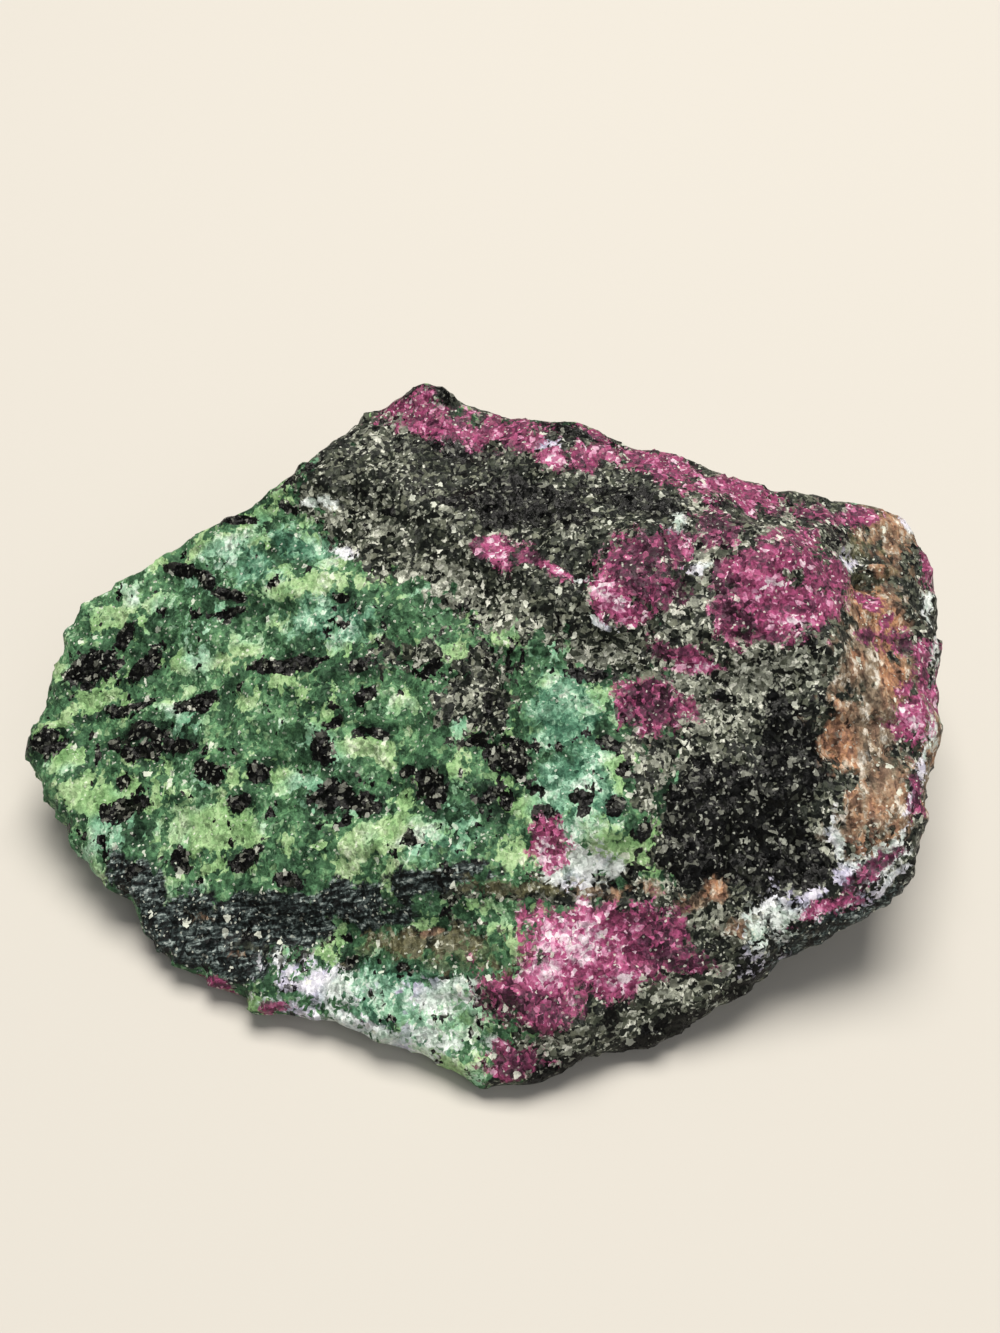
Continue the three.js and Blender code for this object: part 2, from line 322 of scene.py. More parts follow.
PALE = [
    (318, 500, 12, 6, 10),
    (338, 549, 12, 5, 0),
    (680, 528, 8, 8, 0),
    (848, 564, 12, 7, 0),
    (932, 652, 12, 6, 85),
    (922, 762, 24, 6, 82),
    (931, 722, 20, 5, 85),
    (910, 518, 8, 3, -40),
    (544, 444, 14, 4, 0),
    (322, 980, 36, 16, -8),
    (436, 996, 26, 13, 0),
    (365, 1028, 36, 10, -18),
    (436, 1036, 24, 9, -12),
    (492, 1046, 12, 8, 0),
    (384, 1038, 36, 6, -18),
    (300, 1012, 40, 6, -18),
    (582, 866, 26, 18, 20),
    (562, 880, 18, 10, 0),
    (612, 868, 12, 8, 0),
    (566, 575, 16, 4, -26),
    (604, 620, 14, 3, -30),
    (700, 570, 16, 5, 10),
    (779, 916, 28, 17, 25),
    (762, 940, 24, 11, 60),
    (856, 896, 24, 2, 34),
    (906, 842, 12, 3, 65),
    (892, 880, 24, 3, 36),
    (893, 850, 12, 5, 40),
    (848, 876, 40, 8, 30),
    (884, 868, 26, 6, 35),
    (812, 893, 34, 6, 22),
    (914, 796, 10, 3, 75),
    # These two thin strips along the right rim are pale feldspar and partly a painted highlight where the
    # rim catches the light.
    (926, 610, 22, 5, 85),
    (936, 690, 20, 4, 88),
    (836, 838, 5, 22, 0),
]
IRON_STAIN = [
    (886, 571, 20, 8, -8),
    (891, 532, 26, 22, 0),
    (878, 618, 38, 34, 0),
    (858, 664, 22, 34, 0),
    (886, 684, 30, 50, 0),
    (854, 740, 30, 42, 0),
    (876, 775, 32, 46, 0),
    (857, 815, 18, 30, 0),
    (888, 830, 20, 24, 0),
    (719, 891, 12, 10, 0),
    (738, 926, 14, 8, 0),
    (696, 906, 16, 8, 0),
    (200, 920, 9, 5, 0),
    (243, 956, 12, 5, 0),
    (430, 930, 20, 3, 4),
    (600, 890, 40, 6, 0),
]
RUSTY = [
    (892, 672, 14, 36, 0),
    (886, 622, 18, 9, -10),
    (860, 665, 8, 14, 0),
    (719, 891, 10, 8, 0),
    (845, 770, 10, 26, 0),
]
LIGHT_ZOISITE = [
    (60, 674, 12, 12, 50),
    (222, 548, 28, 10, 10),
    (158, 600, 18, 9, 10),
    (312, 587, 52, 10, 8),
    (196, 662, 32, 12, 12),
    (250, 647, 12, 8, 0),
    (108, 695, 26, 8, 35),
    (62, 722, 18, 6, 10),
    (450, 647, 24, 12, 0),
    (460, 722, 15, 12, 0),
    (509, 631, 20, 13, 0),
    (388, 836, 62, 17, 8),
    (205, 832, 55, 25, 0),
    (78, 795, 22, 14, -30),
    (65, 759, 18, 10, 0),
    (403, 802, 14, 8, 90),
    (365, 748, 26, 11, 0),
    (285, 783, 16, 11, 0),
    (234, 777, 12, 11, 0),
    (645, 858, 26, 14, 0),
    (610, 846, 26, 14, 0),
    (548, 676, 16, 8, 40),
    (530, 806, 16, 16, 0),
    (95, 866, 26, 8, -45),
    (250, 1000, 14, 7, 0),
    (556, 798, 32, 14, 20),
    (590, 832, 30, 16, -30),
    (596, 694, 16, 8, 0),
    (620, 760, 20, 12, 0),
    (655, 838, 14, 16, 0),
    (323, 949, 9, 6, 0),
    (430, 1058, 60, 10, -18),
    (430, 1012, 60, 26, -12),
    (370, 985, 30, 14, 0),
]
TEAL_ZOISITE = [
    (253, 563, 30, 14, -20),
    (300, 545, 34, 14, -10),
    (564, 712, 36, 42, 0),
    (578, 786, 40, 42, 0),
    (437, 841, 26, 12, 0),
    (464, 1008, 12, 8, 0),
    (330, 620, 40, 16, 0),
    (410, 1002, 84, 34, -15),
]
OLIVE = [
    (886, 575, 18, 8, -10),
    (862, 548, 22, 9, 0),
    (459, 950, 40, 18, 0),
    (390, 944, 56, 14, 8),
    (508, 890, 36, 8, 0),
    (872, 583, 24, 8, -8),
]

# Places of the same kind where the relief is calmer, and the knob and the hollow at its foot.
CALM_PATCHES = [
    (868, 565, 42, 26, -10),
    (940, 730, 16, 26, 0),
]
KNOB_PATCHES = [
    (874, 569, 24, 8, -8),
    (845, 545, 16, 10, 0),
]
HOLLOW_PATCHES = [
    (858, 584, 28, 7, -14),
]

# Minerals on the sides that the camera doesn't see: middle (x, y, z) and half sizes along x, y
# and z, in millimetres.
HIDDEN_RUBY = [
    ((-8, 36, 24), (15, 6, 5)),
    ((22, 38, 15), (12, 6, 7)),
    ((46, 26, 20), (7, 9, 8)),
    ((58, 6, 20), (6, 14, 5)),
    ((-22, -6, 1), (13, 6, 4)),
    ((14, 10, 0), (16, 8, 4)),
    ((34, -12, 3), (10, 6, 4)),
    ((-34, 22, 10), (9, 6, 3)),
]
HIDDEN_DARK_ROCK = [
    ((6, 40, 24), (30, 14, 20)),
    ((44, 34, 18), (24, 14, 18)),
    ((-16, 36, 30), (12, 10, 10)),
    ((42, 32, 9), (12, 12, 8)),
    ((54, -4, 10), (7, 16, 5)),
    ((2, 4, 0), (10, 16, 4)),
    ((28, -4, 0), (16, 12, 5)),
    ((10, -30, 6), (14, 8, 5)),
    ((-40, 10, 3), (14, 7, 4)),
]
HIDDEN_PALE = [
    ((-10, -22, 4), (12, 5, 3)),
    ((-4, 38, 18), (7, 4, 3)),
    ((20, 22, 0), (8, 5, 4)),
    ((52, 18, 12), (5, 6, 3)),
    ((-46, 0, 4), (7, 6, 3)),
]
HIDDEN_STAIN = [
    ((58, 0, 24), (6, 18, 8)),
    ((50, 24, 14), (8, 8, 7)),
    ((30, 36, 6), (16, 8, 5)),
    ((-6, -8, 0), (14, 8, 3)),
]
HIDDEN_LIGHT = [
    ((-36, 24, 16), (13, 7, 6)),
    ((-16, 34, 14), (8, 6, 4)),
    ((-30, 8, 0), (14, 9, 4)),
    ((0, -16, 0), (12, 7, 3)),
    ((-48, -6, 8), (6, 8, 4)),
]

# The patches of each mineral by its name in the material.
SEEN_MINERALS = {
    "black": BLACK_GRAINS,
    "dark": DARK_SPECKLED_ROCK,
    "salty": SALTY_ROCK,
    "slate_and_shade": SLATE_AND_SHADE_BAND,
    "ruby": RUBY,
    "bright": BRIGHT_RUBY,
    "plum": DARK_RUBY,
    "pale": PALE,
    "stain": IRON_STAIN,
    "rusty": RUSTY,
    "light": LIGHT_ZOISITE,
    "teal": TEAL_ZOISITE,
    "olive": OLIVE,
}
HIDDEN_MINERALS = {
    "dark": HIDDEN_DARK_ROCK,
    "ruby": HIDDEN_RUBY,
    "pale": HIDDEN_PALE,
    "stain": HIDDEN_STAIN,
    "light": HIDDEN_LIGHT,
}

# How a patch lies in the rock, in millimetres: the least half depth of one that the camera sees,
# its half depth for each millimetre of its half width, the least half width that depths inside it
# are measured by, and the farthest depth that counts.
SHALLOWEST_PATCH = 3.0
DEPTH_TO_WIDTH = 3.0
LEAST_HALF_WIDTH = 2.2
FARTHEST = 6.0

# The outlines of patches are bent by this much, by a noise of this size, in millimetres. The dark
# rock reaches this far into the teal zoisite. A side is partly unseen from a little before it
# turns away from the camera, and fully unseen a little after.
WARP = 1.1
WARP_SIZE = 4.5
NOISE_SEED = 11
TEAL_MARGIN = 0.5
UNSEEN_START = 0.6
UNSEEN_SLOPE = 2

# A patch on a hidden side is broken up by chance into smaller ones, which stray from its middle
# and have sizes by these shares of its own half sizes.
SEED = 11
PIECES = 9
STRAY = 0.85
PIECE_SIZES = (0.25, 0.6)

# The surface is divided once for each of these counts of smoothing passes. A pass smooths by the
# first share and then gives back by the second.
SMOOTHING_PASSES = (3, 2)
SMOOTHING_SHARES = (0.5, -0.52)

# Relief in millimetres. Each row is a layer of chips: their size, where its pattern starts, and
# the tilt and the hollowness of one chip. The spread makes neighbouring chips tilt unlike ways.
CHIPS = [
    (7.0, 3.1, 0.11, 0.05),
    (3.2, 8.7, 0.15, 0.09),
    (1.6, 5.3, 0.15, 0.09),
]
CHIP_SPREAD = 53.0
RAISED_AGAINST_CHIPS = 0.2
LEDGE_HEIGHT = 0.3
LEDGE_SPACING = 3.4
LEDGE_WAVE = 2.2
LEDGE_WAVE_SIZE = 9.0
LEDGED_AREA_SIZE = 13.0
LEDGED_AREA_PLACE = Vector((7, 3, 5))
LEDGED_SHARE = 0.35
LEDGED_CONTRAST = 1.6
GRAIN_HEIGHT = 0.05
GRAIN_SIZE = 0.8
CALMED_BY = 0.75
CALM_BORDER = 1.5
KNOB_HEIGHT = 0.9
HOLLOW_DEPTH = 1.1
KNOB_BORDER = 1.0

# The relief is least on sharp edges, where the directions nearby agree less than this, and full
# where they agree more by this range. It fades out over this height above the base.
EDGE_PASSES = 6
EDGE_AGREEMENT = 0.8
EDGE_RANGE = 0.17
EDGE_LEAST = 0.15
BASE_MARGIN = 0.05
BASE_BORDER = 1.5

# Sizes of the material's grains and noises, in millimetres. The wobble also moves places, by up
# to half its own size.
COARSE_GRAIN = 1.5
FINE_GRAIN = 0.65
TINY_GRAIN = 0.32
# Cells of this size take the painted glints.
DOT = 0.26
CRYSTAL = 0.5
WOBBLE = 0.8
BROAD_NOISE = 8
MIDDLING_NOISE = 2.6
OTHER_NOISE = 3.2
SMALL_NOISE = 0.6
STREAK_NOISE = 1.3
FIBRE_NOISE = 1.8
BUMP_DEPTH = 0.25

# Grains are longer along an axis with a factor below 1, and the slate's fibres are this many times
# thinner across the layers.
GRAIN_STRETCH = (1.0, 0.72, 1.0)
STREAK_STRETCH = (1.0, 0.35, 0.5)
CRYSTAL_STRETCH = (0.38, 1.0, 1.0)
FIBRE_SQUEEZE = 3.2

# How far each kind of grain tilts the surface that the light meets, and how strongly it mirrors.
COARSE_TILT = 0.35
FINE_TILT = 0.4
CRYSTAL_TILT = 0.5
TINY_TILT = 0.3
BUMP_STRENGTH = 0.6
MIRRORING = 0.12

# The colours of each mineral from dark to light: how light it is, from 0 to 1, and the colour.
DEEP_GREEN_TONES = [(0.05, "1b2f21"), (0.35, "37583e"), (0.65, "58855d"), (1.0, "8fba86")]
SUGARY_TONES = [(0.0, "739e64"), (0.35, "91b97e"), (0.7, "b0ce99"), (1.0, "dae6ca")]
MINT_TONES = [(0.0, "649a79"), (0.35, "89bb99"), (0.7, "b3d7bb"), (1.0, "e0ece2")]
TEAL_TONES = [(0.1, "24483c"), (0.45, "51866c"), (0.8, "9fceb3"), (1.0, "ddece0")]
FLAKE_TONES = [(0.0, "606256"), (0.4, "83867a"), (0.75, "a5a998"), (1.0, "d6d7ca")]
GROUND_TONES = [(0.0, "0e100f"), (0.5, "262a25"), (0.8, "474c40"), (1.0, "7d806f")]
# The dark band: its darkest stops are partly painted shade, and its lightest are partly painted reflection
# on its fibres.
SLATE_SHADE_AND_REFLECTION_TONES = [(0.2, "0a0c0c"), (0.46, "222a2a"), (0.62, "4d5957"), (0.78, "87938f"), (0.95, "c4cbc6")]
# The black amphibole: its dark stops are its own colour, and its lightest stops are partly painted
# highlight on its grains.
COAL_AND_HIGHLIGHT_TONES = [(0.0, "020202"), (0.7, "0b0c0b"), (0.9, "282a24"), (1.0, "84867b")]
RUST_TONES = [
    (0.05, "3b2c23"),
    (0.25, "7a5a4a"),
    (0.43, "a4785f"),
    (0.57, "bd8b65"),
    (0.72, "c3a68f"),
    (0.92, "ecdec8"),
]
GREY_RUST_TONES = [(0.05, "2c2824"), (0.35, "6f6051"), (0.65, "9a8973"), (0.92, "ddd6ca")]
FILM_TONES = [(0.2, "33362a"), (0.8, "8c8862")]
MINT_WHITE_TONES = [(0.1, "93ae9b"), (0.4, "c8dbce"), (0.7, "ecf3ef")]
LILAC_WHITE_TONES = [(0.1, "9a98b2"), (0.4, "ccc8e2"), (0.7, "eeeaf7")]
RUBY_TONES = [
    (0.05, "38202c"),
    (0.26, "66364f"),
    (0.44, "904265"),
    (0.6, "b45482"),
    (0.76, "d08fb0"),
    (0.95, "efdbe5"),
]
SHADE_TONES = [(0.0, "b4b4b4"), (0.5, "eaeaea"), (1.0, "ffffff")]
# The near white of the painted glints, which stand in for light caught by cleavage faces.
PAINTED_GLINT_COLOUR = "e8ecdc"
FLOOR_COLOUR = "c4c0b8"

# Half the floor's side, in metres.
FLOOR = 3.0
FLOOR_ROUGHNESS = 0.8


def pixel_ray(across, down):
    """The direction in which the camera sees a pixel."""
    ray = FORWARD * FOCAL_PIXELS + RIGHT * (across - MIDDLE_PIXEL[0]) + UPWARD * (MIDDLE_PIXEL[1] - down)
    return ray.normalized()


def solid_mesh(node):
    """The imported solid's points, in millimetres, and triangles, each corner shared by its faces."""
    bm = bmesh.new()
    bm.from_mesh(node.data)
    bmesh.ops.remove_doubles(bm, verts=bm.verts, dist=WELD * MM)
    bmesh.ops.triangulate(bm, faces=bm.faces)
    points = np.array([v.co for v in bm.verts]) / MM
    faces = np.array([[v.index for v in f.verts] for f in bm.faces])
    bm.free()
    return points, faces


def sides_of(faces):
    """Each side once, and for each face which sides it has."""
    pairs = np.concatenate([faces[:, [0, 1]], faces[:, [1, 2]], faces[:, [2, 0]]])
    sides, which = np.unique(np.sort(pairs, axis=1), axis=0, return_inverse=True)
    return sides, which.reshape(3, -1)


def finer(points, faces):
    """Each triangle in four, parted at the middles of its sides."""
    sides, which = sides_of(faces)
    ab, bc, ca = which + len(points)
    a, b, c = faces.T
    quarters = [(a, ab, ca), (b, bc, ab), (c, ca, bc), (ab, bc, ca)]
    faces = np.concatenate([np.stack(corners, axis=1) for corners in quarters])
    return np.concatenate([points, points[sides].mean(axis=1)]), faces


def neighbours_mean(faces):
    """A function that gives, for each point, the mean of a vector over the points beside it."""
    a, b = sides_of(faces)[0].T
    count = np.bincount(np.concatenate([a, b]))[:, None]

    def mean(vectors):
        total = [
            np.bincount(a, vectors[b, k], len(vectors)) + np.bincount(b, vectors[a, k], len(vectors))
            for k in range(3)
        ]
        return np.stack(total, axis=1) / count

    return mean


def smoothed(points, faces, passes):
    """Rounds creases off without shrinking the lump: each pass smooths and then gives back."""
    mean = neighbours_mean(faces)
    for _ in range(passes):
        for share in SMOOTHING_SHARES:
            points = points + share * (mean(points) - points)
    return points


def normals_of(points, faces):
    """The outward direction at each point."""
    a, b, c = (points[faces[:, k]] for k in range(3))
    across = np.cross(b - a, c - a)
    out = np.zeros_like(points)
    for k in range(3):
        for axis in range(3):
            out[:, axis] += np.bincount(faces[:, k], across[:, axis], len(points))
    return out / np.maximum(np.linalg.norm(out, axis=1), 1e-12)[:, None]


def chipped(place, size, start, tilt, hollow):
    """Height of a surface of tilted, slightly hollow chips of this size that meet in sharp ridges."""
    at = place / size + Vector((start, -start, 2 * start))
    distances, chips = noise.voronoi(at)
    heights = [
        tilt * noise.cell_vector(chip * CHIP_SPREAD).dot(at - chip) + hollow * distance * distance
        for distance, chip in zip(distances, chips)
    ]
    return size * min(heights)


def roughness_at(place, calm):
    """How far the broken surface stands out from the solid's at a place."""
    p = Vector(place)
    layer = p.dot(ACROSS_LAYERS) + LEDGE_WAVE * noise.noise(p / LEDGE_WAVE_SIZE)
    ledged = LEDGED_SHARE + LEDGED_CONTRAST * noise.noise(p / LEDGED_AREA_SIZE + LEDGED_AREA_PLACE)
    ledged = min(max(ledged, 0), 1)
    height = RAISED_AGAINST_CHIPS + LEDGE_HEIGHT * ledged * (0.5 - (layer / LEDGE_SPACING) % 1.0)
    for chip in CHIPS:
        height += chipped(p, *chip)
    height += GRAIN_HEIGHT * noise.noise(p / GRAIN_SIZE)
    return height * (1 - CALMED_BY * calm)


def bluntness(out, faces):
    """1 on flat ground and less along sharp edges, from how far the directions nearby agree."""
    mean = neighbours_mean(faces)
    direction = out
    for _ in range(EDGE_PASSES):
        direction = 0.5 * direction + 0.5 * mean(direction)
    agreement = np.linalg.norm(direction, axis=1)
    return np.clip((agreement - EDGE_AGREEMENT) / EDGE_RANGE, EDGE_LEAST, 1)


def seen_patch(solid, row):
    """A patch that the camera sees, as an ellipsoid: its middle, axes and half sizes."""
    across, down, half_long, half_wide, tilt = row
    ray = pixel_ray(across, down)
    hit = solid.ray_cast(CAMERA_PLACE, ray)[0]
    if hit is None:
        hit = solid.find_nearest(CAMERA_PLACE + ray * CAMERA_DISTANCE)[0]
    scale = (hit - CAMERA_PLACE).dot(FORWARD) / FOCAL_PIXELS
    level = RIGHT - ray * ray.dot(RIGHT)
    level.normalize()
    upright = level.cross(ray)
    turn = math.radians(tilt)
    along = level * math.cos(turn) + upright * math.sin(turn)
    wide = upright * math.cos(turn) - level * math.sin(turn)
    reach = max(SHALLOWEST_PATCH, DEPTH_TO_WIDTH * min(half_wide, half_long) * scale)
    return hit, (along, wide, ray), (half_long * scale, half_wide * scale, reach)


def seen_patches(solid, rows):
    return [seen_patch(solid, row) for row in rows]


def broken_patches(rows, chance):
    """Patches given by their places, each broken up into smaller ones that overlap and stray."""
    axes = (Vector((1, 0, 0)), Vector((0, 1, 0)), Vector((0, 0, 1)))
    pieces = []
    for middle, halves in rows:
        for _ in range(PIECES):
            stray = Vector([chance.uniform(-STRAY, STRAY) * half for half in halves])
            sizes = [chance.uniform(*PIECE_SIZES) * half for half in halves]
            pieces.append((Vector(middle) + stray, axes, sizes))
    return pieces


def depth_inside(places, patches):
    """How deep, in millimetres, each place lies inside the nearest of these patches.

    Outside them all it is below 0.
    """
    best = np.full(len(places), -FARTHEST)
    for middle, axes, halves in patches:
        local = (places - np.array(middle)) @ np.array(axes).T / np.array(halves)
        depth = (1 - np.linalg.norm(local, axis=1)) * max(min(halves[:2]), LEAST_HALF_WIDTH)
        best = np.maximum(best, depth)
    return np.minimum(best, FARTHEST)


def share_inside(solid, places, rows, border):
    """0 outside these patches, and 1 farther inside them than the border is wide."""
    return np.clip(depth_inside(places, seen_patches(solid, rows)) / border, 0, 1)


def mineral_depths(solid, places, out):
    """How deep each place lies in each mineral, by its name, and how unseen it is."""
    chance = random.Random(SEED)
    depths = {}
    for name, rows in SEEN_MINERALS.items():
        patches = seen_patches(solid, rows) + broken_patches(HIDDEN_MINERALS.get(name, []), chance)
        depths[name] = depth_inside(places, patches)
    depths["dark"] = np.minimum(depths["dark"], TEAL_MARGIN - depths["teal"])
    depths["unseen"] = np.clip(UNSEEN_START - UNSEEN_SLOPE * out @ np.array(-FORWARD), 0, 1)
    return depths


def linked(name, data):
    """A new object with this data, in the scene."""
    made = bpy.data.objects.new(name, data)
    bpy.context.scene.collection.objects.link(made)
    return made


def stone_object(node):
    """The solid's own surface, made finer and broken, with the minerals as attributes."""
    points, faces = solid_mesh(node)
    solid = BVHTree.FromPolygons([Vector(p) for p in points], faces.tolist())
    for passes in SMOOTHING_PASSES:
        points, faces = finer(points, faces)
        points = smoothed(points, faces, passes)
    out = normals_of(points, faces)

    # Noise vectors differ from run to run until their seed is set.
    noise.seed_set(NOISE_SEED)
    warped = points + np.array([noise.noise_vector(Vector(p) / WARP_SIZE) for p in points]) * WARP
    depths = mineral_depths(solid, warped, out)

    # The relief, which fades out where the stone rests on its base.
    calm = share_inside(solid, points, CALM_PATCHES, CALM_BORDER)
    height = np.array([roughness_at(p, c) for p, c in zip(points, calm)])
    knob = share_inside(solid, warped, KNOB_PATCHES, KNOB_BORDER)
    hollow = share_inside(solid, warped, HOLLOW_PATCHES, KNOB_BORDER)
    height += KNOB_HEIGHT * knob - HOLLOW_DEPTH * hollow
    resting = np.clip((points[:, 2] - BASE_MARGIN) / BASE_BORDER, 0, 1)
    points = points + out * (height * resting * bluntness(out, faces))[:, None]
    points[:, 2] = np.maximum(points[:, 2], 0)

    mesh = bpy.data.meshes.new("rough_stone")
    mesh.from_pydata((points * MM).tolist(), [], faces.tolist())
    mesh.update()
    mesh.polygons.foreach_set("use_smooth", [True] * len(mesh.polygons))
    for name, values in depths.items():
        made = mesh.attributes.new(name, "FLOAT", "POINT")
        made.data.foreach_set("value", values.astype(np.float32))
    return linked("rough_stone", mesh)


def colour(hexa):
    """A display colour such as 4d6b52 as a linear one."""
    parts = [int(hexa[i : i + 2], 16) / 255 for i in (0, 2, 4)]
    return tuple(c / 12.92 if c <= 0.04045 else ((c + 0.055) / 1.055) ** 2.4 for c in parts) + (1.0,)


class Paint:
    """Short calls for the nodes of one material."""

    def __init__(self, name):
        self.material = bpy.data.materials.new(name)
        self.material.use_nodes = True
        self.tree = self.material.node_tree
        self.shader = self.tree.nodes["Principled BSDF"]

    def set(self, socket, value):
        if isinstance(value, bpy.types.NodeSocket):
            self.tree.links.new(value, socket)
        else:
            socket.default_value = value

    def node(self, kind, inputs=(), **settings):
        made = self.tree.nodes.new("ShaderNode" + kind)
        for key, value in settings.items():
            setattr(made, key, value)
        for key, value in dict(inputs).items():
            self.set(made.inputs[key], value)
        return made

    def maths(self, operation, *values):
        return self.node("Math", enumerate(values), operation=operation).outputs[0]

    def add(self, first, *rest):
        for value in rest:
            first = self.maths("ADD", first, value)
        return first

    def times(self, a, b):
        return self.maths("MULTIPLY", a, b)

    def larger(self, a, b):
        return self.maths("MAXIMUM", a, b)

    def about_zero(self, value):
        """A number from 0 to 1 as one from -0.5 to 0.5."""
        return self.maths("SUBTRACT", value, 0.5)

    def vector(self, operation, *values):
        made = self.node("VectorMath", enumerate(values), operation=operation)
        return made.outputs["Value" if operation == "DOT_PRODUCT" else "Vector"]

    def scaled(self, vector, factor):
        made = self.node("VectorMath", {0: vector, "Scale": factor}, operation="SCALE")
        return made.outputs["Vector"]

    def centred(self, vector, factor):
        """A vector of numbers from 0 to 1 moved about zero, and then scaled."""
        return self.scaled(self.vector("SUBTRACT", vector, (0.5, 0.5, 0.5)), factor)

    def turned(self, vector, angle):
        """The vector turned about the direction across the layers."""
        inputs = {"Vector": vector, "Axis": ACROSS_LAYERS, "Angle": angle}
        return self.node("VectorRotate", inputs, rotation_type="AXIS_ANGLE").outputs[0]

    def elsewhere(self, vector, amount):
        """Places moved by this much, so that a noise there is another one."""
        return self.vector("ADD", vector, (amount, -0.7 * amount, 0.4 * amount))

    def attribute(self, name):
        return self.node("Attribute", attribute_name=name).outputs["Fac"]

    def noise(self, at, size, detail=2.0, rough=0.55):
        """Smooth noise about 0, with features of this size in millimetres, and it as a vector."""
        inputs = {"Vector": at, "Scale": 1 / size, "Detail": detail, "Roughness": rough}
        made = self.node("TexNoise", inputs)
        return self.about_zero(made.outputs["Fac"]), made.outputs["Color"]

    def grains(self, at, size):
        """Three numbers from 0 to 1 for each grain, apart and as one vector."""
        made = self.node("TexVoronoi", {"Vector": at, "Scale": 1 / size}).outputs["Color"]
        return self.node("SeparateColor", {0: made}).outputs, made

    def step(self, value, low, high):
        """0 below low, 1 above high, smooth between."""
        inputs = {"Value": value, "From Min": low, "From Max": high}
        return self.node("MapRange", inputs, interpolation_type="SMOOTHSTEP").outputs["Result"]

    def mix(self, share, a, b, blend="MIX"):
        """The colour this share of the way from a to b, or to both blended in another way."""
        made = self.node("Mix", data_type="RGBA", blend_type=blend, clamp_factor=True)
        self.set(made.inputs[0], share)
        self.set(made.inputs[6], a)
        self.set(made.inputs[7], b)
        return made.outputs[2]

    def blend(self, share, a, b):
        """The number that lies this share of the way from a to b."""
        made = self.node("Mix", data_type="FLOAT")
        self.set(made.inputs[0], share)
        self.set(made.inputs[2], a)
        self.set(made.inputs[3], b)
        return made.outputs[0]

    def ramp(self, value, stops):
        """Colours at places from 0 to 1: (place, colour), ..."""
        made = self.node("ValToRGB", {0: value})
        band = made.color_ramp
        while len(band.elements) < len(stops):
            band.elements.new(0.5)
        for element, (place, tint) in zip(band.elements, stops):
            element.position = place
            element.color = colour(tint)
        return made.outputs["Color"]

    def mask(self, depth, wander, ragged_by=1.0, soft=0.12):
        """1 inside a patch and 0 outside, with an edge that wanders."""
        return self.step(self.add(depth, self.times(wander, ragged_by)), -soft, soft)

    def patch(self, name, wander, ragged_by=1.0, soft=0.12):
        return self.mask(self.attribute(name), wander, ragged_by, soft)


